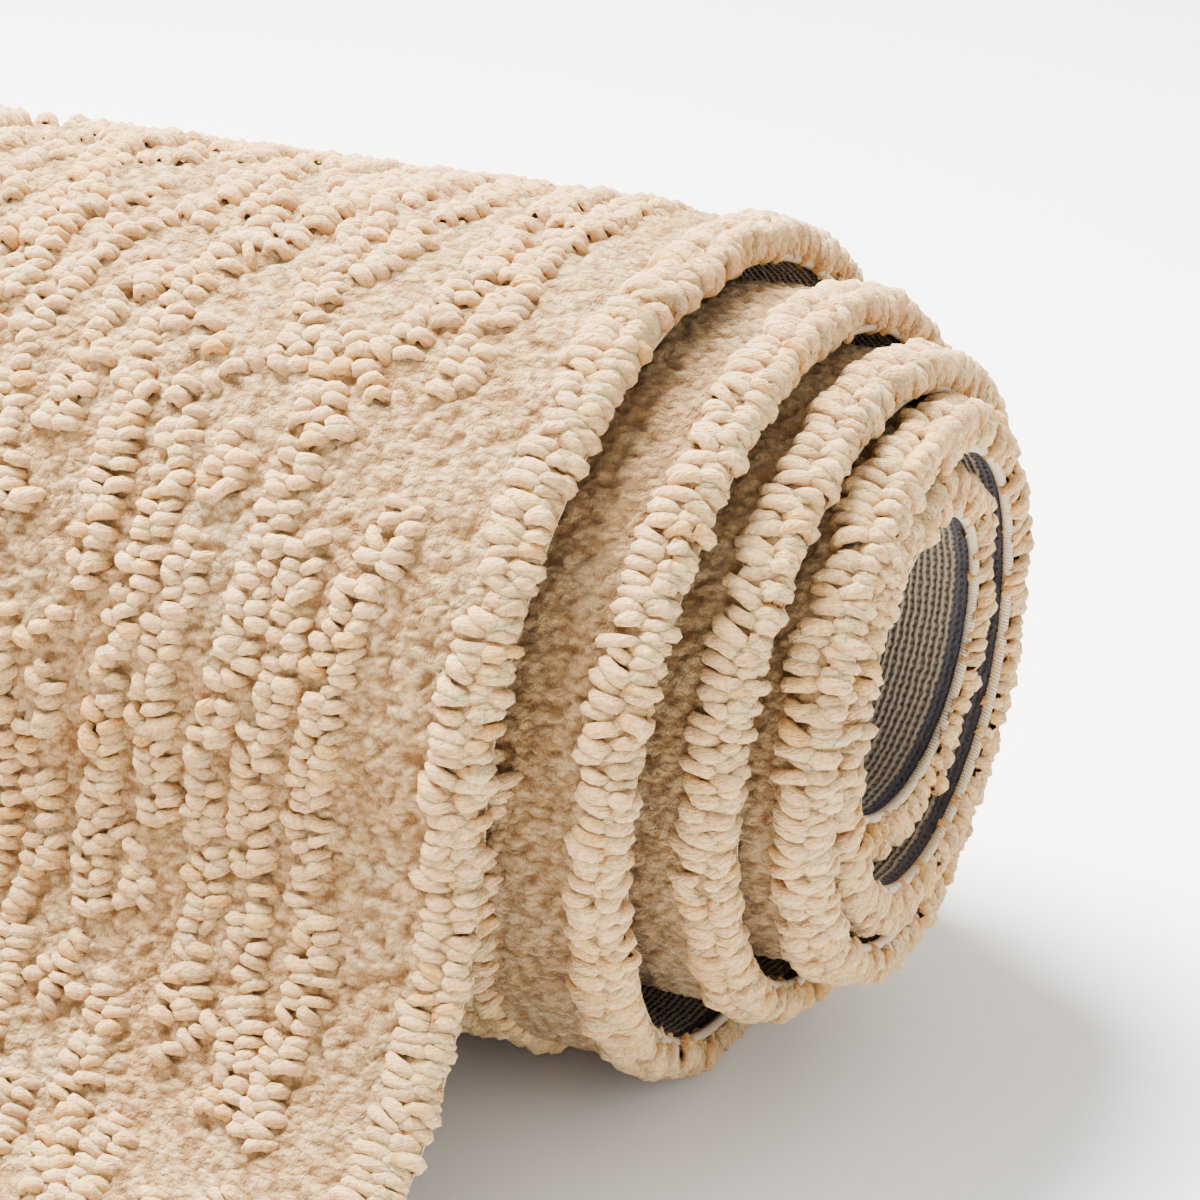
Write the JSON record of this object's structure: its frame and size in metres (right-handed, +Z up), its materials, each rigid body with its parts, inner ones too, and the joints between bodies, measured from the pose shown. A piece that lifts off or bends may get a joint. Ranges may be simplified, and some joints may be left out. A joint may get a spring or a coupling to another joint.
{
  "type": "rolled up carpet",
  "caption": "Thick wool rug rolled up loosely, pile outwards, its right end stepped out and its loose end running down the front and out along the floor.",
  "frame": {"origin": "on the floor, under the middle of the whole rug", "axes": "+X along the roll towards the end that steps out, -Y towards the loose end, +Z up"},
  "size_m": [0.88, 0.6228, 0.2418],
  "materials": {
    "wool_pile": "cream and honey wool, raised loop ribs over a low pile",
    "serging_wool": "cream wool yarn wound tightly over the edge of the backing"
  },
  "bodies": {
    "root": {"carpet": "wool_pile", "edge_cord_right": "serging_wool", "edge_cord_left": "serging_wool"}
  },
  "joints": []
}
